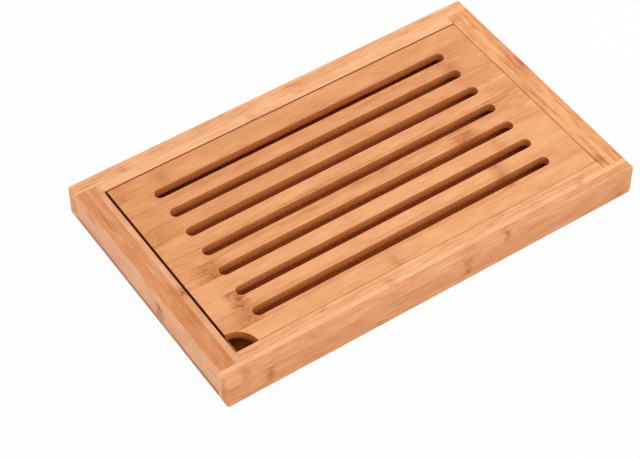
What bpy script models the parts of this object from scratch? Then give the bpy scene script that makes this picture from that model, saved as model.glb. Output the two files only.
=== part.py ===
"""Bamboo bread board: a slotted cutting grid that lies flush in a framed tray and lifts out of it.

Crumbs fall through the slots onto the tray's floor. Four rails, rabbeted together at the corners, hold the floor
in a groove, and the grid rests on four ledge strips glued to the rails above the floor.
Metres. X runs along the board, Y from its front to its back, Z up. The origin lies under the middle of the board.
"""

import math

import bmesh
import bpy

# The whole board
BOARD_LENGTH = 0.400
BOARD_WIDTH = 0.245
BOARD_HEIGHT = 0.031
EDGE_RADIUS = 0.0020
EDGE_STEPS = 6

# Rails: how wide they are seen from above, and how far a side rail's end is let into the long rails
RAIL_WIDTH = 0.022
RABBET_DEPTH = 0.009

# Floor panel, held in a groove on the rails' inner sides
PANEL_THICKNESS = 0.005
PANEL_RISE = 0.004
GROOVE_DEPTH = 0.006

# Ledge strips that carry the grid
LEDGE_WIDTH = 0.0045

# Grid, with the room that it has in the frame on each side
GRID_THICKNESS = 0.008
GRID_PLAY_LEFT = 0.0022
GRID_PLAY_RIGHT = 0.0004
GRID_PLAY_FRONT = 0.0003
GRID_PLAY_BACK = 0.0013
GRID_ARRIS = 0.0003
ARRIS_STEPS = 2

# Slots: the solid bands around the slot field, the slots' width and their spacing from centre to centre
SLOT_WIDTH = 0.010
SLOT_PITCH = 0.0247
SLOT_LEFT_BAND = 0.0303
SLOT_RIGHT_BAND = 0.0311
SLOT_FRONT_BAND = 0.0199
SLOT_LEAST_BACK_BAND = 0.015
SLOT_END_STEPS = 12

# Finger cut-out at the grid's front left corner
FINGER_RADIUS = 0.019
FINGER_STEPS = 48

# Fits: glue lines between fixed pieces, the floor in its groove, the grid on its ledges
GLUE_GAP = 0.0003
PANEL_FIT = 0.0003
SEAT_GAP = 0.0003

# How far every cutter runs past the surface that it cuts
OVERRUN = 0.002

# Edges that turn more than this are eased on the grid, and are shaded sharp on every piece
CREASE_ANGLE = math.radians(35)

# Colours of the bamboo, as 8-bit screen values, and its oiled finish
RAIL_COLOUR = (238, 172, 124)
SIDE_RAIL_COLOUR = (224, 154, 108)
GRID_COLOUR = (232, 163, 115)
LEDGE_COLOUR = (222, 158, 108)
PANEL_COLOUR = (214, 150, 102)
BAMBOO_ROUGHNESS = 0.45

# What follows from the sizes above
FRAME_X = BOARD_LENGTH / 2 - RAIL_WIDTH
FRAME_Y = BOARD_WIDTH / 2 - RAIL_WIDTH
SIDE_RAIL_LENGTH = 2 * (FRAME_Y + RABBET_DEPTH - GLUE_GAP)
PANEL_TOP = PANEL_RISE + PANEL_THICKNESS
GRID_BOTTOM = BOARD_HEIGHT - GRID_THICKNESS
GRID_LENGTH = 2 * FRAME_X - GRID_PLAY_LEFT - GRID_PLAY_RIGHT
GRID_WIDTH = 2 * FRAME_Y - GRID_PLAY_FRONT - GRID_PLAY_BACK
SLOT_FIELD = GRID_WIDTH - SLOT_FRONT_BAND - SLOT_LEAST_BACK_BAND
SLOT_COUNT = 1 + math.floor((SLOT_FIELD - SLOT_WIDTH) / SLOT_PITCH)


def clear_scene():
    """Empties the file of the objects that it opens with."""
    for thing in list(bpy.data.objects):
        bpy.data.objects.remove(thing, do_unlink=True)


def screen_to_linear(level):
    """Turns one 8-bit screen colour level into the linear value that a shader takes."""
    share = level / 255
    return share / 12.92 if share <= 0.04045 else ((share + 0.055) / 1.055) ** 2.4


def bamboo(name, colour):
    """Oiled bamboo of one colour."""
    material = bpy.data.materials.new(name + "_bamboo")
    material.use_nodes = True
    shader = material.node_tree.nodes["Principled BSDF"]
    linear = [screen_to_linear(level) for level in colour]
    shader.inputs["Base Color"].default_value = (*linear, 1)
    shader.inputs["Roughness"].default_value = BAMBOO_ROUGHNESS
    shader.inputs["Metallic"].default_value = 0
    material.diffuse_color = (*linear, 1)
    return material


def add_block(bm, low, high):
    """Adds a rectangular block between two corners and returns its vertices."""
    block = bmesh.ops.create_cube(bm, size=1)["verts"]
    for vert in block:
        vert.co = [
            a + (share + 0.5) * (b - a) for a, b, share in zip(low, high, vert.co)
        ]
    return block


def add_prism(bm, outline, bottom, top):
    """Adds an upright prism: a flat outline, counter-clockwise from above, drawn up from bottom to top."""
    face = bm.faces.new([bm.verts.new((x, y, bottom)) for x, y in outline])
    drawn = bmesh.ops.extrude_face_region(bm, geom=[face])["geom"]
    lifted = [item for item in drawn if isinstance(item, bmesh.types.BMVert)]
    bmesh.ops.translate(bm, verts=lifted, vec=(0, 0, top - bottom))
    bmesh.ops.recalc_face_normals(bm, faces=bm.faces)


def arc(centre, radius, start, end, steps):
    """Points on a circular arc, its ends included."""
    turns = [start + (end - start) * i / steps for i in range(steps + 1)]
    return [(centre[0] + radius * math.cos(t), centre[1] + radius * math.sin(t)) for t in turns]


def new_object(name, bm, colour=None, parent=None):
    """Puts a finished bmesh into the scene as a named object."""
    mesh = bpy.data.meshes.new(name)
    bm.to_mesh(mesh)
    bm.free()
    thing = bpy.data.objects.new(name, mesh)
    thing.parent = parent
    bpy.context.scene.collection.objects.link(thing)
    if colour:
        mesh.materials.append(bamboo(name, colour))
        mesh.shade_smooth()
        mesh.set_sharp_from_angle(angle=CREASE_ANGLE)
    return thing


def cut(piece, name, bm):
    """Cuts a piece with a bmesh in the piece's own frame, kept as a wire guide below it."""
    guide = new_object(f"{piece.name}_{name}_guide", bm, parent=piece)
    guide.hide_render = True
    guide.display_type = "WIRE"
    boolean = piece.modifiers.new(name, "BOOLEAN")
    boolean.operation = "DIFFERENCE"
    boolean.solver = "EXACT"
    boolean.object = guide


def round_outer_edges(bm, outward):
    """Rounds each edge of a block between two of the sides that face outward."""

    def faces_out(face):
        return any(face.normal.dot(direction) > math.cos(CREASE_ANGLE) for direction in outward)

    bm.normal_update()
    outer = [e for e in bm.edges if all(faces_out(f) for f in e.link_faces)]
    bmesh.ops.bevel(
        bm, geom=outer, offset=EDGE_RADIUS, segments=EDGE_STEPS, profile=0.5, affect="EDGES"
    )


def cut_groove(rail, length):
    """Cuts the floor's groove along the whole inner side of a rail, whose inner side is at +Y."""
    bm = bmesh.new()
    add_block(
        bm,
        (-length / 2 - OVERRUN, RAIL_WIDTH / 2 - GROOVE_DEPTH, PANEL_RISE - PANEL_FIT),
        (length / 2 + OVERRUN, RAIL_WIDTH / 2 + OVERRUN, PANEL_TOP + PANEL_FIT),
    )
    cut(rail, "groove", bm)


def make_long_rail(name, tray, side):
    """Front or back rail: the whole length of the board, with a rabbet at each end for a side rail.

    It is modelled as the front rail, with its inner side at +Y. side is -1 at the front and 1 at the back,
    where the rail is turned round.
    """
    bm = bmesh.new()
    half_length, half_width = BOARD_LENGTH / 2, RAIL_WIDTH / 2
    add_block(bm, (-half_length, -half_width, 0), (half_length, half_width, BOARD_HEIGHT))
    round_outer_edges(bm, [(0, -1, 0), (-1, 0, 0), (1, 0, 0), (0, 0, -1), (0, 0, 1)])
    rail = new_object(name, bm, RAIL_COLOUR, tray)
    rail.location = (0, side * (FRAME_Y + half_width), 0)
    rail.rotation_euler = (0, 0, math.pi if side > 0 else 0)

    bm = bmesh.new()
    for end in (-1, 1):
        shoulder = end * (FRAME_X - GLUE_GAP)
        past_end = end * (half_length + OVERRUN)
        add_block(
            bm,
            (min(shoulder, past_end), half_width - RABBET_DEPTH, -OVERRUN),
            (max(shoulder, past_end), half_width + OVERRUN, BOARD_HEIGHT + OVERRUN),
        )
    cut(rail, "rabbets", bm)
    cut_groove(rail, BOARD_LENGTH)


def make_side_rail(name, tray, side):
    """Left or right rail, between the rabbets. side is -1 on the left and 1 on the right."""
    bm = bmesh.new()
    half_length, half_width = SIDE_RAIL_LENGTH / 2, RAIL_WIDTH / 2
    add_block(bm, (-half_length, -half_width, 0), (half_length, half_width, BOARD_HEIGHT))
    round_outer_edges(bm, [(0, -1, 0), (0, 0, -1), (0, 0, 1)])
    rail = new_object(name, bm, SIDE_RAIL_COLOUR, tray)
    rail.location = (side * (FRAME_X + half_width), 0, 0)
    rail.rotation_euler = (0, 0, side * math.pi / 2)
    cut_groove(rail, SIDE_RAIL_LENGTH)


def make_bottom_panel(tray):
    """Floor of the crumb tray, let into the groove on all four sides."""
    reach_x = FRAME_X + GROOVE_DEPTH - PANEL_FIT
    reach_y = FRAME_Y + GROOVE_DEPTH - PANEL_FIT
    bm = bmesh.new()
    add_block(bm, (-reach_x, -reach_y, 0), (reach_x, reach_y, PANEL_THICKNESS))
    panel = new_object("bottom_panel", bm, PANEL_COLOUR, tray)
    panel.location = (0, 0, PANEL_RISE)


def make_ledges(tray):
    """Four strips between the floor and the grid, glued to the rails. The end strips run the whole width."""
    bottom = PANEL_TOP + GLUE_GAP
    height = GRID_BOTTOM - SEAT_GAP - bottom
    half_width = LEDGE_WIDTH / 2
    end_reach = FRAME_Y - GLUE_GAP
    long_reach = FRAME_X - LEDGE_WIDTH - 2 * GLUE_GAP
    seats = {
        "left_ledge": (-1, 0),
        "right_ledge": (1, 0),
        "front_ledge": (0, -1),
        "back_ledge": (0, 1),
    }
    for name, (along_x, along_y) in seats.items():
        half_x = half_width if along_x else long_reach
        half_y = end_reach if along_x else half_width
        bm = bmesh.new()
        add_block(bm, (-half_x, -half_y, 0), (half_x, half_y, height))
        ledge = new_object(name, bm, LEDGE_COLOUR, tray)
        inset = GLUE_GAP + half_width
        ledge.location = (along_x * (FRAME_X - inset), along_y * (FRAME_Y - inset), bottom)


def make_grid(lift):
    """Cutting grid: a plate with long slots that end in half circles, and a finger cut-out at one corner."""
    half_length, half_width = GRID_LENGTH / 2, GRID_WIDTH / 2
    bm = bmesh.new()
    add_block(bm, (-half_length, -half_width, 0), (half_length, half_width, GRID_THICKNESS))
    grid = new_object("slotted_grid", bm, GRID_COLOUR, lift)

    bm = bmesh.new()
    turn = math.pi / 2
    left = -half_length + SLOT_LEFT_BAND + SLOT_WIDTH / 2
    right = half_length - SLOT_RIGHT_BAND - SLOT_WIDTH / 2
    for slot in range(SLOT_COUNT):
        y = -half_width + SLOT_FRONT_BAND + SLOT_WIDTH / 2 + slot * SLOT_PITCH
        outline = arc((right, y), SLOT_WIDTH / 2, -turn, turn, SLOT_END_STEPS)
        outline += arc((left, y), SLOT_WIDTH / 2, turn, 3 * turn, SLOT_END_STEPS)
        add_prism(bm, outline, -OVERRUN, GRID_THICKNESS + OVERRUN)
    cut(grid, "slots", bm)

    bm = bmesh.new()
    outline = arc((-half_length, -half_width), FINGER_RADIUS, 0, 4 * turn, FINGER_STEPS)[:-1]
    add_prism(bm, outline, -OVERRUN, GRID_THICKNESS + OVERRUN)
    cut(grid, "finger_cut", bm)

    arris = grid.modifiers.new("arris", "BEVEL")
    arris.width = GRID_ARRIS
    arris.segments = ARRIS_STEPS
    arris.limit_method = "ANGLE"
    arris.angle_limit = CREASE_ANGLE


def new_empty(name, location):
    """An axis that pieces hang on."""
    empty = bpy.data.objects.new(name, None)
    empty.location = location
    bpy.context.scene.collection.objects.link(empty)
    return empty


clear_scene()
crumb_tray = new_empty("crumb_tray", (0, 0, 0))
for rail_name, rail_side in (("front_rail", -1), ("back_rail", 1)):
    make_long_rail(rail_name, crumb_tray, rail_side)
for rail_name, rail_side in (("left_rail", -1), ("right_rail", 1)):
    make_side_rail(rail_name, crumb_tray, rail_side)
make_bottom_panel(crumb_tray)
make_ledges(crumb_tray)
grid_middle_x = (GRID_PLAY_LEFT - GRID_PLAY_RIGHT) / 2
grid_middle_y = (GRID_PLAY_FRONT - GRID_PLAY_BACK) / 2
make_grid(new_empty("grid_lift_axis", (grid_middle_x, grid_middle_y, GRID_BOTTOM)))
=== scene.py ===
"""Oiled bamboo bread board: a slotted grid that lies flush in a framed crumb tray and lifts out of it.

Metres. X runs along the board, Y from its front to its back, Z up from the table that it stands on.
"""

import math

import bmesh
import bpy
import numpy as np
from mathutils import Matrix, Vector
from mathutils.geometry import tessellate_polygon


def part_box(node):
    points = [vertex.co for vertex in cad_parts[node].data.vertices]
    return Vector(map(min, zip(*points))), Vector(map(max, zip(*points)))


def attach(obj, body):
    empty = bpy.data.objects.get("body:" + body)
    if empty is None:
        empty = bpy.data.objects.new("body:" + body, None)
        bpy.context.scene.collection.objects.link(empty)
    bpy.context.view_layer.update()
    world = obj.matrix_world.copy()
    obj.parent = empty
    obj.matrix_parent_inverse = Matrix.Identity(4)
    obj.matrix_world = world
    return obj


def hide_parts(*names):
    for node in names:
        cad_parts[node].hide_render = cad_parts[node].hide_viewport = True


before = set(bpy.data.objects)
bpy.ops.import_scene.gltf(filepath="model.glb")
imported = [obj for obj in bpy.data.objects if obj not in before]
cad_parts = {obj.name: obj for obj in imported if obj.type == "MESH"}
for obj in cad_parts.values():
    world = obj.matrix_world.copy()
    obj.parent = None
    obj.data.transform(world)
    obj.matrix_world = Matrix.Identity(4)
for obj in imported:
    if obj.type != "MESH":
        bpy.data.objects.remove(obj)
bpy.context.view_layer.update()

# Front and back rail: bamboo strips, laid up like bricks and glued, run the whole length of the board. Each
# rail is planed square, rabbeted at its ends for the side rails and grooved for the floor. Outer edges are
# routed round once the frame is glued up, and inner edges are only eased with sandpaper.

rail_low, rail_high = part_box("front_rail")
side_low, side_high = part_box("right_rail")
panel_low, panel_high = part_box("bottom_panel")

GLUE_LINE = 0.00004
EDGE_RADIUS = 0.0020
EDGE_STEPS = 8
ARRIS = 0.0002
ARRIS_STEPS = 4
ARRIS_RUN_OUT = 0.008
RUN_OUT_STEPS = 8
WELD = 0.000001
CREASE_ANGLE = math.radians(35)

rail_height = rail_high[2]
long_edge = -rail_low[1]
long_half = rail_high[0]
long_width = rail_high[1] - rail_low[1]
opening_half_x = side_low[0]
opening_half_y = -rail_high[1]
lip_width = long_edge - side_high[1] - GLUE_LINE
shoulder_x = opening_half_x - GLUE_LINE
# Depth, bottom and top of the groove that holds the floor
groove_shape = (
    panel_high[1] - opening_half_y + GLUE_LINE,
    panel_low[2] - GLUE_LINE,
    panel_high[2] + GLUE_LINE,
)


def round_corner(u, v, radius, start, steps):
    """Turns the corner (u, v) of a rectangle into a quarter circle, at every station of a rail at once.

    The centre lies one radius inwards of the corner both ways. The points are the centre plus the radius
    times the cosine and sine of start to start + 90 degrees. u, v and radius are arrays, one value a station.
    """
    middle = math.radians(start + 45)
    turns = math.radians(start) + np.linspace(0, math.pi / 2, steps + 1)
    centre = np.stack([u - np.sign(np.cos(middle)) * radius, v - np.sign(np.sin(middle)) * radius], -1)
    return centre[:, None] + radius[:, None, None] * np.stack([np.cos(turns), np.sin(turns)], -1)


def rail_section(width, inset, arris, seam=None, groove=None):
    """Cross-section of a rail at every station: (u, v), with u inwards from the board's edge and v up.

    It is the rectangle from (inset, inset) to (width, rail height - inset), anticlockwise. Its outer corners
    are quarter circles of EDGE_RADIUS - inset, and its inner corners quarter circles of arris. seam puts one
    more point at that u on the underside and on top. groove is the (depth, bottom, top) of the groove in the
    inner side.
    """
    top = rail_height - inset
    inner = np.full_like(inset, width)
    radius = EDGE_RADIUS - inset
    parts = [round_corner(inset, inset, radius, 180, EDGE_STEPS)]
    if seam:
        parts.append(np.stack([np.full_like(inset, seam), inset], -1)[:, None])
    parts.append(round_corner(inner, inset, arris, 270, ARRIS_STEPS))
    if groove:
        depth, bottom, ceiling = groove
        corners = [(width, bottom), (width - depth, bottom), (width - depth, ceiling), (width, ceiling)]
        parts.append(np.broadcast_to(np.array(corners), (len(inset), *np.shape(corners))))
    parts.append(round_corner(inner, top, arris, 0, ARRIS_STEPS))
    if seam:
        parts.append(np.stack([np.full_like(inset, seam), top], -1)[:, None])
    parts.append(round_corner(inset, top, radius, 90, EDGE_STEPS))
    return np.concatenate(parts, axis=1)


def carry(section, along, edge, turn):
    """Carries a cross-section along a rail: point = (along, u - edge, v), turned about Z by turn degrees.

    edge is how far the rail's outer side is from the middle of the board.
    """
    u, v = section[..., 0], section[..., 1]
    along = np.broadcast_to(along[:, None], u.shape)
    cosine, sine = math.cos(math.radians(turn)), math.sin(math.radians(turn))
    return np.stack([cosine * along - sine * (u - edge), sine * along + cosine * (u - edge), v], -1)


def run_out(reach):
    """Stations along a rail between two joints, and the arris at each.

    The stations are close together only near the joints. The arris grows from nothing at a joint to ARRIS, as
    the smooth step 3t^2 - 2t^3 of the share t of ARRIS_RUN_OUT: sandpaper doesn't reach into the corner.
    """
    share = np.linspace(0, 1, RUN_OUT_STEPS + 1)
    eased = ARRIS * share * share * (3 - 2 * share)
    along = reach - ARRIS_RUN_OUT * share
    return np.concatenate([-along, along[::-1]]), np.concatenate([eased, eased[::-1]])


def closed_mesh(name, sheets, flats):
    """One closed mesh. A sheet's neighbouring rows are joined by quads, and every row closes on itself.

    A flat is (points, faces) and closes what the sheets leave open. Points nearer than WELD become one point,
    and the faces are turned to point outwards.
    """
    points, faces, count = [], [], 0
    for sheet in sheets:
        number = count + np.arange(sheet.shape[0] * sheet.shape[1]).reshape(sheet.shape[:2])
        after = np.roll(number, -1, axis=1)
        faces += np.stack([number[:-1], after[:-1], after[1:], number[1:]], -1).reshape(-1, 4).tolist()
        points.append(sheet.reshape(-1, 3))
        count += number.size
    for flat, outlines in flats:
        faces += [[count + corner for corner in outline] for outline in outlines]
        points.append(flat)
        count += len(flat)
    mesh = bpy.data.meshes.new(name)
    mesh.from_pydata(np.concatenate(points), [], faces)
    bm = bmesh.new()
    bm.from_mesh(mesh)
    bmesh.ops.remove_doubles(bm, verts=bm.verts, dist=WELD)
    bmesh.ops.recalc_face_normals(bm, faces=bm.faces)
    bm.to_mesh(mesh)
    bm.free()
    return mesh


def outline_face(ring):
    """A flat with one face, whose outline is a ring of points."""
    return ring, [range(len(ring))]


def finish_piece(mesh, node, body, material, fibres):
    """Makes the piece that stands for a CAD node, with even shading on its flats.

    Its end_grain attribute is how squarely each corner of a face looks along the fibres: the size of the
    normal's share along the axis fibres, 0 for X and 1 for Y. Its upright attribute is the size of the
    normal's level part, 1 on a wall and 0 on a level face.
    """
    mesh.materials.append(material)
    mesh.shade_smooth()
    mesh.set_sharp_from_angle(angle=CREASE_ANGLE)
    normals = np.empty(len(mesh.loops) * 3, np.float32)
    mesh.corner_normals.foreach_get("vector", normals)
    normals = np.abs(normals.reshape(-1, 3))
    shares = {"end_grain": normals[:, fibres], "upright": np.hypot(normals[:, 0], normals[:, 1])}
    for name, share in shares.items():
        attribute = mesh.attributes.new(name, "FLOAT", "CORNER")
        attribute.data.foreach_set("value", np.ascontiguousarray(share))
    piece = bpy.data.objects.new(mesh.name, mesh)
    bpy.context.scene.collection.objects.link(piece)
    even = piece.modifiers.new("even_shading", "WEIGHTED_NORMAL")
    even.keep_sharp = True
    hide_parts(node)
    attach(piece, body)


class Value:
    """What varies over a surface: one output socket of a material. Sums and products add Math nodes."""

    def __init__(self, socket):
        self.socket = socket

    def node(self, kind, settings=None, inputs=None, output=0):
        """Adds a node to the same material: its settings first, then the values or links of its sockets."""
        tree = self.socket.id_data
        made = tree.nodes.new(kind)
        for name, setting in (settings or {}).items():
            if name == "stops":
                stops = made.color_ramp.elements
                while len(stops) < len(setting):
                    stops.new(1)
                for stop, (position, colour) in zip(stops, setting):
                    stop.position = position
                    stop.color = colour
            elif name == "interpolation":
                made.color_ramp.interpolation = setting
            else:
                setattr(made, name, setting)
        for name, value in (inputs or {}).items():
            if isinstance(value, Value):
                tree.links.new(made.inputs[name], value.socket)
            else:
                made.inputs[name].default_value = value
        return Value(made.outputs[output])

    def also(self, output):
        """Another output of the same node."""
        return Value(self.socket.node.outputs[output])

    def math(self, operation, *others):
        """A Math node on this value and the others."""
        return self.node("ShaderNodeMath", {"operation": operation}, dict(enumerate((self, *others))))

    def vector(self, operation, *others):
        """A Vector Math node on this value and the others."""
        return self.node("ShaderNodeVectorMath", {"operation": operation}, dict(enumerate((self, *others))))

    def __add__(self, other):
        return self.math("ADD", other)

    __radd__ = __add__

    def __mul__(self, other):
        return self.math("MULTIPLY", other)

    __rmul__ = __mul__

    def __sub__(self, other):
        return self.math("SUBTRACT", other)

    def __rsub__(self, other):
        return self.node("ShaderNodeMath", {"operation": "SUBTRACT"}, {0: other, 1: self})

    def __gt__(self, other):
        return self.math("GREATER_THAN", other)

    def rise(self, low, high):
        """0 at low and 1 at high, with a smooth step between. It falls instead where low is above high."""
        ends = {"Value": self, "From Min": low, "From Max": high}
        return self.node("ShaderNodeMapRange", {"interpolation_type": "SMOOTHSTEP"}, ends)

    def scaled(self, lengths):
        """This place counted in the given lengths in metres along the three axes."""
        return self.vector("MULTIPLY", tuple(1 / length for length in lengths))

    def noise(self, lengths, detail, roughness):
        """Soft noise from about 0 to 1, whose lumps have the given lengths."""
        inputs = {"Vector": self.scaled(lengths), "Scale": 1, "Detail": detail, "Roughness": roughness}
        return self.node("ShaderNodeTexNoise", {"noise_dimensions": "3D"}, inputs)

    def specks(self, lengths, low, high):
        """Scattered specks of the given lengths: 0 at low from a speck's middle and beyond, 1 within high."""
        inputs = {"Vector": self.scaled(lengths), "Scale": 1}
        return self.node("ShaderNodeTexVoronoi", {"feature": "F1"}, inputs, "Distance").rise(low, high)

    def swing(self):
        """A noise as its swing about nought, from about -0.5 to 0.5."""
        return self - 0.5

    def mix(self, under, over):
        """The colour that is under where this share is 0, and over where it is 1."""
        settings = {"data_type": "RGBA", "clamp_factor": True}
        return self.node("ShaderNodeMix", settings, {0: self, 6: under, 7: over}, 2)


def screen(red, green, blue):
    """An 8-bit screen colour as the linear colour that a shader takes, by the screen's own curve."""
    shares = (level / 255 for level in (red, green, blue))
    return (*(s / 12.92 if s <= 0.04045 else ((s + 0.055) / 1.055) ** 2.4 for s in shares), 1)


NODE_COLOUR = screen(178, 94, 38)
LINE_COLOUR = screen(170, 92, 42)
VESSEL_COLOUR = screen(164, 88, 38)
# Painted shade on the rails' inner walls, where they show in the gaps round the grid
RAIL_WALL_SHADE_COLOUR = screen(166, 84, 22)

# Noises of the bamboo: their lengths along, across and through the strips, their detail and roughness
WANDER = ((0.060, 0.020, 0.020), 1, 0.5)
FIBRES = ((0.016, 0.0010, 0.0010), 4, 0.65)
STREAKS = ((0.060, 0.0026, 0.0026), 2, 0.55)
CLOUDS = ((0.030, 0.013, 0.013), 3, 0.5)
FEATHERS = ((0.030, 0.0022, 0.0022), 2, 0.6)
BLOTCHES = ((0.008, 0.006, 0.006), 2, 0.55)
# Its dark specks, cut vessels and the eyes in a node: their lengths, where they begin and where they are full
VESSELS = ((0.018, 0.0013, 0.0013), 0.42, 0.16)
EYES = ((0.0032, 0.0017, 0.0017), 0.42, 0.18)

# How far the fibres wander sideways, and how far apart strips, layers and seeds lie in the noises
WANDER_REACH = 0.0012
STRIP_STEP = 0.37
LAYER_STEP = 0.53
SEED_STEP = (0.73, 0.19, 0.11)

# Where each thing begins to show and where it is full, in metres for the last three
MIDTONE_FADE = (0.35, 0.65)
BLOTCH_FADE = (0.36, 0.62)
STAIN_FADE = (1.15, 0.05)
END_FADE = (0.25, 0.9)
END_SHADE_FADE = (0.3, 0.8)
JOINT_FADE = (0.0016, 0.0004)
LINE_FADE = (0.00030, 0.00012)
LOW_SHADE_FADE = (0.0030, 0.0010)

# How strongly each thing shows: in a node's stain, in the tone, in a glue line, in the painted shade on an
# upright side, in a vessel, in the painted shade on an end, and in the painted shade low on the outer side,
# in full at the last value's share of the height
FEATHER_REACH = 1.1
STAIN_BLOTCHES = 0.28
STAIN_FIBRES = 0.14
STAIN_EYES = 0.50
STAIN_PLAIN = 0.42
STAIN_JOINT = 0.30
TONE_STREAKS = 0.65
TONE_FIBRES = 1.10
TONE_CLOUDS = 0.90
TONE_ENDS = 0.06
LINE_CLOUDS = 0.40
LINE_PLAIN = 0.08
WALL_SHADE_CLOUDS = 0.30
WALL_SHADE_PLAIN = 0.45
WALL_SHADE_ENDS = 0.60
VESSEL_ENDS = 0.24
VESSEL_TONE = 0.25
VESSEL_PLAIN = 0.12
END_SHADE_CLOUDS = 0.9
END_SHADE_PLAIN = 0.3
LOW_SHADE_CLOUDS = 0.4
LOW_SHADE_PLAIN = 0.22
LOW_SHADE_FULL = 0.4

# The oil's roughness, and the heights that the light picks out, in metres
ROUGH_PLAIN = 0.46
ROUGH_FIBRES = 0.22
ROUGH_VESSELS = 0.06
ROUGH_ENDS = 0.10
FIBRE_HEIGHT = 0.00004
VESSEL_DEPTH = 0.00002
LINE_DEPTH = 0.00003
CLOUD_HEIGHT = 0.0002
BUMP_STRENGTH = 0.6

# A ramp holds nothing below nought, so what may be negative is raised by this much in it
RAISED = 0.5
# What a strip without a node has instead of one: place, darkness and reach
NO_NODE = (0, 0, 1)


def count_past(position, edges):
    """How many of the edges lie below a position, and how far the nearest one is, or 1 without edges."""
    number = position * 0
    nearest = number + 1
    for past in edges:
        beyond = position - past
        number = (beyond > 0) + number
        nearest = beyond.math("ABSOLUTE").math("MINIMUM", nearest)
    return number, nearest


def look_up(number, rows):
    """The row of a table for a strip's or layer's number: red, green and blue of a stepped ramp."""
    stops = [(index / len(rows), (*row, 1)) for index, row in enumerate(rows)]
    chosen = (number + 0.5) * (1 / len(rows))
    ramp = number.node("ShaderNodeValToRGB", {"interpolation": "CONSTANT", "stops": stops}, {0: chosen})
    red = ramp.node("ShaderNodeSeparateColor", None, {0: ramp}, 0)
    return red, red.also(1), red.also(2)


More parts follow.
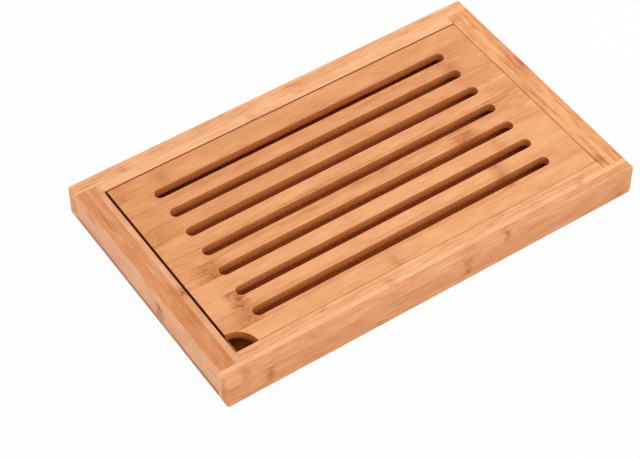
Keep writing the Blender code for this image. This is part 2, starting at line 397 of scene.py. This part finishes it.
def bamboo(name, turn, edge, strips, layers, colours, seed, gloss, wall_shade=None, end_shade=None, painted_low_shade=None):
    """Oiled bamboo of strips glued side by side and in layers, with its fibres along one axis.

    turn and edge are the ones that the piece was carried with, so along, across and up below are measured as
    in its cross-section. strips is a list of (far edge, tone, figure, nodes): the tone is 0 for the first of
    the two colours and 1 for the second, and figure is how plainly the fibres show. nodes holds up to two
    nodes, each as its place along the strip, its darkness and how far its stain reaches. layers is a list of
    (upper edge, tone, shift, shift): the tone is added to the strips' tones, and the shifts move their first
    and second nodes along. gloss is the oil's specular level.

    The last three are each (where, colour), and each is painted shade. The upright sides from there
    inwards are darkened where they stand in slots and gaps, the end-grain ends past there are darkened
    brown in the gaps beside them, and the outer side below there is darkened grey-brown where it meets
    the table.
    """
    material = bpy.data.materials.new(name)
    material.use_nodes = True
    tree = material.node_tree
    shader = tree.nodes["Principled BSDF"]
    place = Value(tree.nodes.new("ShaderNodeTexCoord").outputs["Object"])
    seat = {"Vector": place, "Location": (0, edge, 0), "Rotation": (0, 0, -math.radians(turn))}
    place = place.node("ShaderNodeMapping", None, seat)
    along = place.node("ShaderNodeSeparateXYZ", None, {0: place}, "X")
    across, up = along.also("Y"), along.also("Z")

    # What the tables say about this place
    strip, from_strip_line = count_past(across, [row[0] for row in strips[:-1]])
    layer, from_layer_line = count_past(up, [row[0] for row in layers[:-1]])
    layer_tone, *shifts = look_up(layer, [[value + RAISED for value in row[1:]] for row in layers])
    tone, figure, _ = look_up(strip, [(row[1], row[2], 0) for row in strips])
    nodes = []
    for which in (0, 1):
        rows = [[*row[3], NO_NODE, NO_NODE][which] for row in strips]
        nodes.append(look_up(strip, [(middle + RAISED, dark, reach) for middle, dark, reach in rows]))

    # The grain: each strip and layer has noises of its own, drawn out along its fibres
    cell = strip * STRIP_STEP + layer * LAYER_STEP + seed
    shifted = cell.vector("MULTIPLY_ADD", SEED_STEP, place)
    wander = shifted.noise(*WANDER).swing() * WANDER_REACH
    fibre_place = wander.vector("MULTIPLY_ADD", (0, 1, 1), shifted)
    fibres = fibre_place.noise(*FIBRES)
    streaks = fibre_place.noise(*STREAKS)
    clouds = shifted.noise(*CLOUDS)
    vessels = fibre_place.specks(*VESSELS)
    eyes = shifted.specks(*EYES)
    ragged = shifted.noise(*FEATHERS).swing() * FEATHER_REACH
    blotches = shifted.noise(*BLOTCHES).rise(*BLOTCH_FADE)

    def node_mark(middle, darkness, reach, shift):
        """Where a cane had a joint: a blotchy stain, feathered along the fibres, with a line and eyes."""
        past = (along - (middle + shift - 2 * RAISED) + ragged * reach).math("ABSOLUTE")
        stain = past.math("DIVIDE", reach).rise(*STAIN_FADE)
        joint = past.rise(*JOINT_FADE) * blotches
        grain = blotches * STAIN_BLOTCHES + fibres.rise(*MIDTONE_FADE) * STAIN_FIBRES + eyes * STAIN_EYES
        return (stain * (grain + STAIN_PLAIN) + joint * STAIN_JOINT) * darkness

    marks = node_mark(*nodes[0], shifts[0]) + node_mark(*nodes[1], shifts[1])
    lines = from_strip_line.math("MINIMUM", from_layer_line).rise(*LINE_FADE)
    squareness = along.node("ShaderNodeAttribute", {"attribute_name": "end_grain"}, None, "Fac")
    upright = along.node("ShaderNodeAttribute", {"attribute_name": "upright"}, None, "Fac")
    ends = squareness.rise(*END_FADE)

    # The colour: the strips' tones and their grain first, then what darkens it
    tone = tone + layer_tone - RAISED
    streaky = streaks.swing() * TONE_STREAKS + fibres.swing() * TONE_FIBRES
    tone = tone + streaky * figure + clouds.swing() * TONE_CLOUDS + ends * TONE_ENDS
    colour = marks.mix(tone.mix(*colours), NODE_COLOUR)
    colour = (lines * (clouds.rise(*MIDTONE_FADE) * LINE_CLOUDS + LINE_PLAIN)).mix(colour, LINE_COLOUR)
    # Painted shade: upright sides in slots and gaps are darkened, and their end grain further
    if wall_shade:
        shaded_from, wall_shade_colour = wall_shade
        wall = (across > shaded_from) * upright
        colour = (wall * (clouds * WALL_SHADE_CLOUDS + WALL_SHADE_PLAIN)).mix(colour, wall_shade_colour)
        colour = (wall * ends * WALL_SHADE_ENDS).mix(colour, VESSEL_COLOUR)
    dark = vessels * (ends * VESSEL_ENDS + tone * figure * VESSEL_TONE + VESSEL_PLAIN)
    colour = dark.mix(colour, VESSEL_COLOUR)
    # Painted shade: ends that stand in the gaps beside the side rails are darkened brown
    if end_shade:
        shaded_past, end_shade_colour = end_shade
        end_shade_share = (along.math("ABSOLUTE") > shaded_past) * squareness.rise(*END_SHADE_FADE)
        colour = (end_shade_share * (clouds * END_SHADE_CLOUDS + END_SHADE_PLAIN)).mix(colour, end_shade_colour)
    # Painted shade: the outer side is darkened grey-brown low down, where it meets the table
    if painted_low_shade:
        shaded_below, low_shade_colour = painted_low_shade
        low_shade_share = up.rise(shaded_below, shaded_below * LOW_SHADE_FULL) * across.rise(*LOW_SHADE_FADE)
        colour = (low_shade_share * (clouds * LOW_SHADE_CLOUDS + LOW_SHADE_PLAIN)).mix(colour, low_shade_colour)
    tree.links.new(shader.inputs["Base Color"], colour.socket)

    # The sheen of the oil and the relief of the grain
    shader.inputs["Specular IOR Level"].default_value = gloss
    roughness = ROUGH_PLAIN + fibres.swing() * ROUGH_FIBRES + vessels * ROUGH_VESSELS + ends * ROUGH_ENDS
    tree.links.new(shader.inputs["Roughness"], roughness.socket)
    height = fibres * FIBRE_HEIGHT - vessels * VESSEL_DEPTH - lines * LINE_DEPTH + clouds * CLOUD_HEIGHT
    relief = {"Height": height, "Distance": 1.0, "Strength": BUMP_STRENGTH}
    bump = height.node("ShaderNodeBump", None, relief)
    tree.links.new(shader.inputs["Normal"], bump.socket)
    return material


# Layers from below and strips from the board's edge inwards, in the columns that bamboo takes
LONG_RAIL_LAYERS = [
    (0.0070, 0.06, -0.125, 0.370),
    (0.0240, 0.14, -0.039, 0.022),
    (rail_height, 0.0, 0.0, 0.0),
]
FRONT_RAIL_STRIPS = [
    (0.0031, 0.40, 0.9, [(0.069, 0.62, 0.0060), (-0.182, 0.60, 0.0060)]),
    (0.0080, 0.52, 1.0, [(0.068, 0.25, 0.0060), (-0.182, 0.25, 0.0050)]),
    (0.0132, 0.02, 0.9, [(-0.0385, 0.33, 0.0065), (0.151, 0.38, 0.0060)]),
    (0.0176, 0.24, 1.2, [(-0.0385, 0.33, 0.0055), (0.154, 0.28, 0.0060)]),
    (long_width, 0.22, 1.3, [(-0.098, 0.50, 0.0055), (0.0755, 0.42, 0.0060)]),
]
BACK_RAIL_STRIPS = [
    (0.0050, 0.26, 1.1, [(0.052, 0.20, 0.0090), (-0.156, 0.15, 0.0080)]),
    (0.0100, 0.30, 1.1, [(0.154, 0.33, 0.0065), (-0.023, 0.25, 0.0060)]),
    (0.0130, 0.12, 1.2, [(0.152, 0.33, 0.0080), (-0.021, 0.14, 0.0050)]),
    (0.0180, 0.02, 1.2, [(0.032, 0.30, 0.0060), (-0.019, 0.35, 0.0070)]),
    (long_width, 0.06, 1.3, [(0.031, 0.45, 0.0070)]),
]
LONG_RAIL_COLOURS = (screen(247, 186, 137), screen(209, 127, 73))


def make_long_rail(name, turn, strips, seed):
    """A long rail: its grooved middle between the shoulders, and a rounded lip past each shoulder.

    At a lip's end, at the turn t from 0 to 90 degrees, the section lies radius * (1 - sin t) short of the end
    and its outer sides are set in by radius * (1 - cos t), which rolls a ball of that radius round the edges.
    """
    along, arris = run_out(shoulder_x)
    middle = rail_section(long_width, np.zeros_like(along), arris, lip_width, groove_shape)
    sheets = [carry(middle, along, long_edge, turn)]
    flats = [outline_face(sheets[0][row, EDGE_STEPS + 1 : -EDGE_STEPS - 1]) for row in (0, -1)]
    turns = np.linspace(0, math.pi / 2, EDGE_STEPS + 1)
    inset = np.concatenate([[0], EDGE_RADIUS * (1 - np.cos(turns))])
    reach = np.concatenate([[shoulder_x], long_half - EDGE_RADIUS * (1 - np.sin(turns))])
    lip = rail_section(lip_width, inset, np.zeros_like(inset))
    for end in (-1, 1):
        sheets.append(carry(lip, end * reach, long_edge, turn))
        flats.append(outline_face(sheets[-1][-1]))
    mesh = closed_mesh(name + "_bamboo", sheets, flats)
    material = bamboo(
        name + "_bamboo", turn, long_edge, strips, LONG_RAIL_LAYERS, LONG_RAIL_COLOURS, seed,
        gloss=0.10, wall_shade=(long_width - ARRIS, RAIL_WALL_SHADE_COLOUR),
    )
    finish_piece(mesh, name, "tray", material, fibres=0)


make_long_rail("front_rail", 0, FRONT_RAIL_STRIPS, seed=0.3)
make_long_rail("back_rail", 180, BACK_RAIL_STRIPS, seed=2.1)

# Left and right rail: the same laid-up bamboo, cut from darker stock with a pale strip along the opening.
# Their ends are sawn square and glued into the long rails' rabbets: a joint shows only as a change of grain.

side_edge = side_high[0]
side_width = side_high[0] - side_low[0]
SIDE_RAIL_LAYERS = [
    (0.0070, 0.60, 0.050, 0.009),
    (0.0240, 0.02, -0.1275, -0.045),
    (rail_height, 0.0, 0.0, 0.0),
]
LEFT_RAIL_STRIPS = [
    (0.0022, 0.20, 0.9, [(0.1500, 1.00, 0.0090), (-0.0850, 0.40, 0.0090)]),
    (0.0094, 0.61, 0.95, [(0.0500, 0.20, 0.0130), (-0.0935, 0.25, 0.0060)]),
    (0.0167, 0.66, 1.0, [(0.0225, 0.20, 0.0050), (0.0530, 0.30, 0.0160)]),
    (side_width, 0.27, 1.2, [(0.0270, 0.90, 0.0090), (0.0480, 0.30, 0.0200)]),
]
RIGHT_RAIL_STRIPS = [
    (0.0045, 0.40, 2.0, [(-0.0525, 0.40, 0.0080), (0.0265, 0.85, 0.0160)]),
    (0.0090, 0.22, 2.8, [(-0.0525, 0.30, 0.0080), (0.0230, 0.50, 0.0280)]),
    (0.0146, 0.10, 2.4, [(0.0875, 0.40, 0.0060), (0.0260, 0.42, 0.0240)]),
    (side_width, 0.36, 2.3, [(-0.0985, 0.60, 0.0075), (0.0040, 0.25, 0.0160)]),
]
LEFT_RAIL_COLOURS = (screen(241, 180, 136), screen(206, 124, 66))
RIGHT_RAIL_COLOURS = (screen(243, 174, 117), screen(207, 126, 75))
# Height below which the outer side gets painted shade where it meets the table, and the colour of that shade
SIDE_RAIL_LOW_SHADE = (0.0085, screen(112, 100, 98))


def capped_mesh(name, sheet):
    """A section carried straight, with a flat at each of its two ends."""
    return closed_mesh(name, [sheet], [outline_face(sheet[0]), outline_face(sheet[-1])])


def make_side_rail(name, turn, strips, colours, seed):
    """A side rail: one grooved section from end to end. Its arris runs out before it enters the rabbets."""
    along, arris = run_out(opening_half_y)
    end = side_high[1]
    along = np.concatenate([[-end], along, [end]])
    arris = np.concatenate([[0], arris, [0]])
    section = rail_section(side_width, np.zeros_like(along), arris, groove=groove_shape)
    mesh = capped_mesh(name + "_bamboo", carry(section, along, side_edge, turn))
    material = bamboo(
        name + "_bamboo", turn, side_edge, strips, SIDE_RAIL_LAYERS, colours, seed,
        gloss=0.15, wall_shade=(side_width - ARRIS, RAIL_WALL_SHADE_COLOUR), painted_low_shade=SIDE_RAIL_LOW_SHADE,
    )
    finish_piece(mesh, name, "tray", material, fibres=1)


make_side_rail("left_rail", 270, LEFT_RAIL_STRIPS, LEFT_RAIL_COLOURS, seed=8.3)
make_side_rail("right_rail", 90, RIGHT_RAIL_STRIPS, RIGHT_RAIL_COLOURS, seed=12.6)

# Floor of the tray: a thin panel of bamboo strips lies loose in the rails' groove, so that it can swell and
# not split the frame. Crumbs fall on it through the slots, and it shows only between the grid's bars.

PANEL_STRIP_WIDTH = 0.020
PANEL_COLOURS = (screen(200, 113, 46), screen(167, 86, 32))
# The tone, figure and nodes of each strip of the floor, from its front to its back
PANEL_STRIPS = [
    # The front strip's deep tone is painted shade for the floor seen through the finger cut-out
    (0.95, 1.0, [(-0.110, 0.5, 0.010)]),
    (0.60, 0.7, [(0.060, 0.6, 0.009)]),
    (0.40, 1.2, []),
    (0.70, 0.9, [(-0.030, 0.5, 0.011)]),
    (0.35, 1.1, [(0.140, 0.6, 0.010)]),
    (0.50, 0.8, [(-0.150, 0.5, 0.009)]),
    (0.65, 1.3, []),
    (0.30, 0.8, [(0.020, 0.6, 0.010)]),
    (0.55, 1.1, [(-0.080, 0.5, 0.011)]),
    (0.40, 0.9, [(0.110, 0.5, 0.009)]),
    (0.60, 1.0, []),
]
panel_strips = [((number + 1) * PANEL_STRIP_WIDTH, *row) for number, row in enumerate(PANEL_STRIPS)]
# One layer from the table to far above the board
ONE_LAYER = [(1, 0, 0, 0)]


def plate_mesh(name, low, high, turn=0):
    """A plate or bar in the box from low to high, with square ends. turn is 90 for one that runs along Y.

    It is a rectangle carried straight, and its long edges are quarter circles of ARRIS.
    """
    centre = [(a + b) / 2 for a, b in zip(low, high)]
    half = [(b - a) / 2 for a, b in zip(low, high)]
    length, width = (half[1], half[0]) if turn else (half[0], half[1])
    corners = [(-width, low[2], 180), (width, low[2], 270), (width, high[2], 0), (-width, high[2], 90)]
    easing = np.full(2, ARRIS)
    section = np.concatenate(
        [round_corner(np.full(2, u), np.full(2, v), easing, start, ARRIS_STEPS) for u, v, start in corners], 1
    )
    sheet = carry(section, np.array([-length, length]), 0, turn)
    return capped_mesh(name, sheet + (centre[0], centre[1], 0))


panel_bamboo = bamboo(
    "panel_bamboo", 0, panel_high[1], panel_strips, ONE_LAYER, PANEL_COLOURS, seed=7.3, gloss=0.05
)
panel_mesh = plate_mesh("bottom_panel_bamboo", panel_low, panel_high)
finish_piece(panel_mesh, "bottom_panel", "tray", panel_bamboo, fibres=0)

# Ledges: four square strips of bamboo are glued to the rails above the floor, and the grid rests on them. The
# top of the left one shows inside the finger cut-out.

LEDGE_COLOURS = (screen(206, 140, 84), screen(176, 108, 60))
# A ledge is one strip without a node, measured from an edge that lies outside the board
LEDGE_STRIPS = [(2, 0.5, 1, [])]
LEDGE_EDGE = 1

for number, name in enumerate(sorted(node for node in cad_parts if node.endswith("_ledge"))):
    low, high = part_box(name)
    runs_back = high[1] - low[1] > high[0] - low[0]
    turn = 90 if runs_back else 0
    mesh = plate_mesh(name + "_bamboo", low, high, turn)
    material = bamboo(
        name + "_bamboo", turn, LEDGE_EDGE, LEDGE_STRIPS, ONE_LAYER, LEDGE_COLOURS, seed=number, gloss=0.05
    )
    finish_piece(mesh, name, "tray", material, fibres=1 if runs_back else 0)

# Slotted grid: one panel of flat bamboo strips, glued edge to edge, lies loose on the ledges, flush with the
# frame. Seven slots with round ends are milled through it for the crumbs, and a quarter circle is cut from
# its front left corner, where a finger lifts it out.

grid_low, grid_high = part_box("slotted_grid")

SLOT_COUNT = 7
SLOT_WIDTH = 0.010
SLOT_PITCH = 0.0247
SLOT_LEFT_BAND = 0.0303
SLOT_RIGHT_BAND = 0.0311
SLOT_FRONT_BAND = 0.0199
SLOT_STEPS = 24
FINGER_RADIUS = 0.019
FINGER_STEPS = 40
CORNER_RADIUS = 0.0010
CORNER_STEPS = 6
GRID_ARRIS = 0.0002
GRID_STRIP_WIDTH = 0.0182
GRID_FIRST_EDGE = 0.0162
GRID_COLOURS = (screen(244, 178, 124), screen(203, 124, 74))
# Every upright side of the grid stands in a slot, a gap or the cut-out and gets painted shade, so this lies
# in front of it
GRID_WALL_SHADE = (-1, screen(213, 128, 60))
# Painted shade, brown, on the end grain of the last 3 mm at both ends, which stand in the gaps beside the
# side rails
GRID_END_SHADE = (grid_high[0] - 0.003, screen(112, 52, 20))
# The tone, figure and nodes of each strip of the grid, from its front to its back
GRID_STRIPS = [
    (0.16, 0.85, [(-0.021, 0.45, 0.013)]),
    (0.38, 0.85, [(-0.152, 0.72, 0.017), (0.104, 0.60, 0.010)]),
    (0.16, 0.80, [(-0.149, 1.15, 0.0105), (0.106, 0.70, 0.011)]),
    (0.22, 0.75, [(0.122, 0.40, 0.010)]),
    (0.38, 1.20, [(-0.150, 0.85, 0.019), (0.104, 0.88, 0.017)]),
    (0.52, 1.30, [(-0.100, 0.20, 0.010), (0.023, 0.30, 0.010)]),
    (0.32, 1.20, []),
    (0.50, 0.60, [(-0.168, 0.45, 0.020)]),
    (0.48, 0.70, [(0.142, 0.50, 0.012)]),
    (0.56, 0.90, [(0.134, 0.30, 0.012)]),
    (0.46, 0.60, [(-0.132, 0.32, 0.010), (-0.168, 0.40, 0.018)]),
]
grid_strips = [(GRID_FIRST_EDGE + number * GRID_STRIP_WIDTH, *row) for number, row in enumerate(GRID_STRIPS)]


def bend(centre, radius, start, end, steps):
    """Points and outward normals of an arc in a cut-out panel's outline, seen from above.

    start and end are the directions of the normal, in degrees. A point is the centre plus radius times its
    normal, so a radius below nought gives a hollow arc, whose normals point to its centre.
    """
    turns = np.radians(np.linspace(start, end, steps + 1))
    normals = np.stack([np.cos(turns), np.sin(turns)], -1)
    return np.array(centre) + radius * normals, normals


def join_bends(*bends):
    """One closed outline: the bends in order, with straight sides between them."""
    return tuple(np.concatenate(parts) for parts in zip(*bends))


def rim(points, normals):
    """The upright edge of a panel along an outline: eased at the top, straight, and eased below.

    A row at the turn t of the upper arris lies GRID_ARRIS * (1 - sin t) inside the outline and
    GRID_ARRIS * (1 - cos t) below the top, and the lower arris is its mirror image.
    """
    turns = np.linspace(0, math.pi / 2, ARRIS_STEPS + 1)
    inside = GRID_ARRIS * (1 - np.sin(turns))
    down = GRID_ARRIS * (1 - np.cos(turns))
    inside = np.concatenate([inside, inside[::-1]])
    heights = np.concatenate([grid_high[2] - down, grid_low[2] + down[::-1]])
    flat = points - inside[:, None, None] * normals
    return np.concatenate([flat, np.broadcast_to(heights[:, None, None], (*flat.shape[:2], 1))], -1)


def grid_outline():
    """The grid's outer outline, anticlockwise from its front right corner: straight sides and round corners.

    The finger cut-out is a hollow arc about the front left corner. The roundings at its two ends touch it and
    a side: their centres lie FINGER_RADIUS + CORNER_RADIUS from that corner and CORNER_RADIUS from the side.
    """
    left, front = grid_low[0], grid_low[1]
    right, back = grid_high[0] - CORNER_RADIUS, grid_high[1] - CORNER_RADIUS
    reach = math.sqrt((FINGER_RADIUS + CORNER_RADIUS) ** 2 - CORNER_RADIUS**2)
    meet = math.degrees(math.atan2(reach, CORNER_RADIUS))
    return join_bends(
        bend((right, front + CORNER_RADIUS), CORNER_RADIUS, 270, 360, CORNER_STEPS),
        bend((right, back), CORNER_RADIUS, 0, 90, CORNER_STEPS),
        bend((left + CORNER_RADIUS, back), CORNER_RADIUS, 90, 180, CORNER_STEPS),
        bend((left + CORNER_RADIUS, front + reach), CORNER_RADIUS, 180, 180 + meet, CORNER_STEPS),
        bend((left, front), -FINGER_RADIUS, 180 + meet, 270 - meet, FINGER_STEPS),
        bend((left + reach, front + CORNER_RADIUS), CORNER_RADIUS, 270 - meet, 270, CORNER_STEPS),
    )


def slot_outline(number):
    """A slot's outline: two hollow half circles, joined by straight sides."""
    radius = SLOT_WIDTH / 2
    y = grid_low[1] + SLOT_FRONT_BAND + radius + number * SLOT_PITCH
    return join_bends(
        bend((grid_high[0] - SLOT_RIGHT_BAND - radius, y), -radius, 270, 90, SLOT_STEPS),
        bend((grid_low[0] + SLOT_LEFT_BAND + radius, y), -radius, 90, -90, SLOT_STEPS),
    )


def grid_face(rims, row):
    """The flat face between the rims' rows of one height, as triangles."""
    rings = [edge[row] for edge in rims]
    triangles = tessellate_polygon([[Vector(point) for point in ring] for ring in rings])
    return np.concatenate(rings), [list(triangle) for triangle in triangles]


rims = [rim(*grid_outline())] + [rim(*slot_outline(number)) for number in range(SLOT_COUNT)]
grid_mesh = closed_mesh("slotted_grid_bamboo", rims, [grid_face(rims, 0), grid_face(rims, -1)])
grid_bamboo = bamboo(
    "grid_bamboo", 0, -grid_low[1], grid_strips, ONE_LAYER, GRID_COLOURS, seed=9.4,
    gloss=0.15, wall_shade=GRID_WALL_SHADE, end_shade=GRID_END_SHADE,
)
finish_piece(grid_mesh, "slotted_grid", "grid", grid_bamboo, fibres=0)

# Table, light and camera: the board stands on a plain white table under a broad soft light, photographed from
# above its front left corner.

TABLE_HALF = 4.0
TABLE_STEPS = 3
TABLE_DROP = 0.0001
TABLE_WHITE = (0.82, 0.82, 0.82, 1)
TABLE_GLOW_SHARE = 0.95
WHITE = (1, 1, 1, 1)
AMBIENT = 0.88
# Each softbox: its place, its size in metres and its power in watts
SOFTBOXES = {
    "right_softbox": ((0.75, 0.35, 0.9), 0.9, 3.0),
    "left_softbox": ((-2.5, -1.9, 0.75), 2.0, 11.5),
    "front_softbox": ((1.0, -1.1, 0.4), 0.8, 1.2),
}
CAMERA_PLACE = Vector((-0.67553, -0.96115, 1.32121))
CAMERA_AIM = Vector((-0.05372, -0.03265, 0.0310))
CAMERA_LENS = 118.76
CAMERA_ROLL = math.radians(-0.29)


def seen_directly(value):
    """1 for what the camera or a reflection sees, and 0 for the light that falls on the board."""
    seen = value.node("ShaderNodeLightPath", None, None, "Is Camera Ray")
    return seen.math("MAXIMUM", seen.also("Is Glossy Ray"))


def make_table():
    """A wide flat sheet under the board, white to the camera apart from a faint shadow."""
    steps = np.linspace(-TABLE_HALF, TABLE_HALF, TABLE_STEPS)
    x, y = np.meshgrid(steps, steps)
    points = np.stack([x, y, np.full_like(x, -TABLE_DROP)], -1).reshape(-1, 3)
    number = np.arange(len(points)).reshape(x.shape)
    quads = np.stack([number[:-1, :-1], number[:-1, 1:], number[1:, 1:], number[1:, :-1]], -1)
    mesh = bpy.data.meshes.new("white_table")
    mesh.from_pydata(points, [], quads.reshape(-1, 4).tolist())
    material = bpy.data.materials.new("white_table")
    material.use_nodes = True
    tree = material.node_tree
    shader = tree.nodes["Principled BSDF"]
    shader.inputs["Base Color"].default_value = TABLE_WHITE
    shader.inputs["Roughness"].default_value = 1.0
    shader.inputs["Specular IOR Level"].default_value = 0.0
    matt = Value(shader.outputs["BSDF"])
    seen = seen_directly(matt) * TABLE_GLOW_SHARE
    glow = matt.node("ShaderNodeEmission", None, {"Color": WHITE, "Strength": 1.0})
    mixed = matt.node("ShaderNodeMixShader", None, {0: seen, 1: matt, 2: glow})
    tree.links.new(tree.nodes["Material Output"].inputs["Surface"], mixed.socket)
    mesh.materials.append(material)
    table = bpy.data.objects.new("white_table", mesh)
    bpy.context.scene.collection.objects.link(table)


def make_world():
    """An even pale room: plain white to the camera and in reflections, dimmer as a light."""
    world = bpy.data.worlds.new("pale_room")
    bpy.context.scene.world = world
    world.use_nodes = True
    tree = world.node_tree
    background = tree.nodes["Background"]
    background.inputs["Color"].default_value = WHITE
    background.inputs["Strength"].default_value = AMBIENT
    dim = Value(background.outputs["Background"])
    white = dim.node("ShaderNodeBackground", None, {"Color": WHITE, "Strength": 1.0})
    mixed = dim.node("ShaderNodeMixShader", None, {0: seen_directly(dim), 1: dim, 2: white})
    tree.links.new(tree.nodes["World Output"].inputs["Surface"], mixed.socket)


def make_softbox(name, place, size, power):
    """A square soft lamp that faces the board's middle."""
    light = bpy.data.lights.new(name, "AREA")
    light.size = size
    light.energy = power
    lamp = bpy.data.objects.new(name, light)
    lamp.location = place
    lamp.rotation_euler = (-Vector(place)).to_track_quat("-Z", "Y").to_euler()
    bpy.context.scene.collection.objects.link(lamp)


def make_camera():
    """The camera that the board is photographed with: aimed at a point, then rolled about its own axis."""
    lens = bpy.data.cameras.new("board_camera")
    lens.lens = CAMERA_LENS
    camera = bpy.data.objects.new("board_camera", lens)
    look = (CAMERA_AIM - CAMERA_PLACE).to_track_quat("-Z", "Y").to_matrix()
    rolled = (look @ Matrix.Rotation(CAMERA_ROLL, 3, "Z")).to_4x4()
    camera.matrix_world = Matrix.Translation(CAMERA_PLACE) @ rolled
    bpy.context.scene.collection.objects.link(camera)
    bpy.context.scene.camera = camera


make_table()
make_world()
for name, (place, size, power) in SOFTBOXES.items():
    make_softbox(name, place, size, power)
make_camera()
bpy.context.scene.view_settings.view_transform = "Standard"
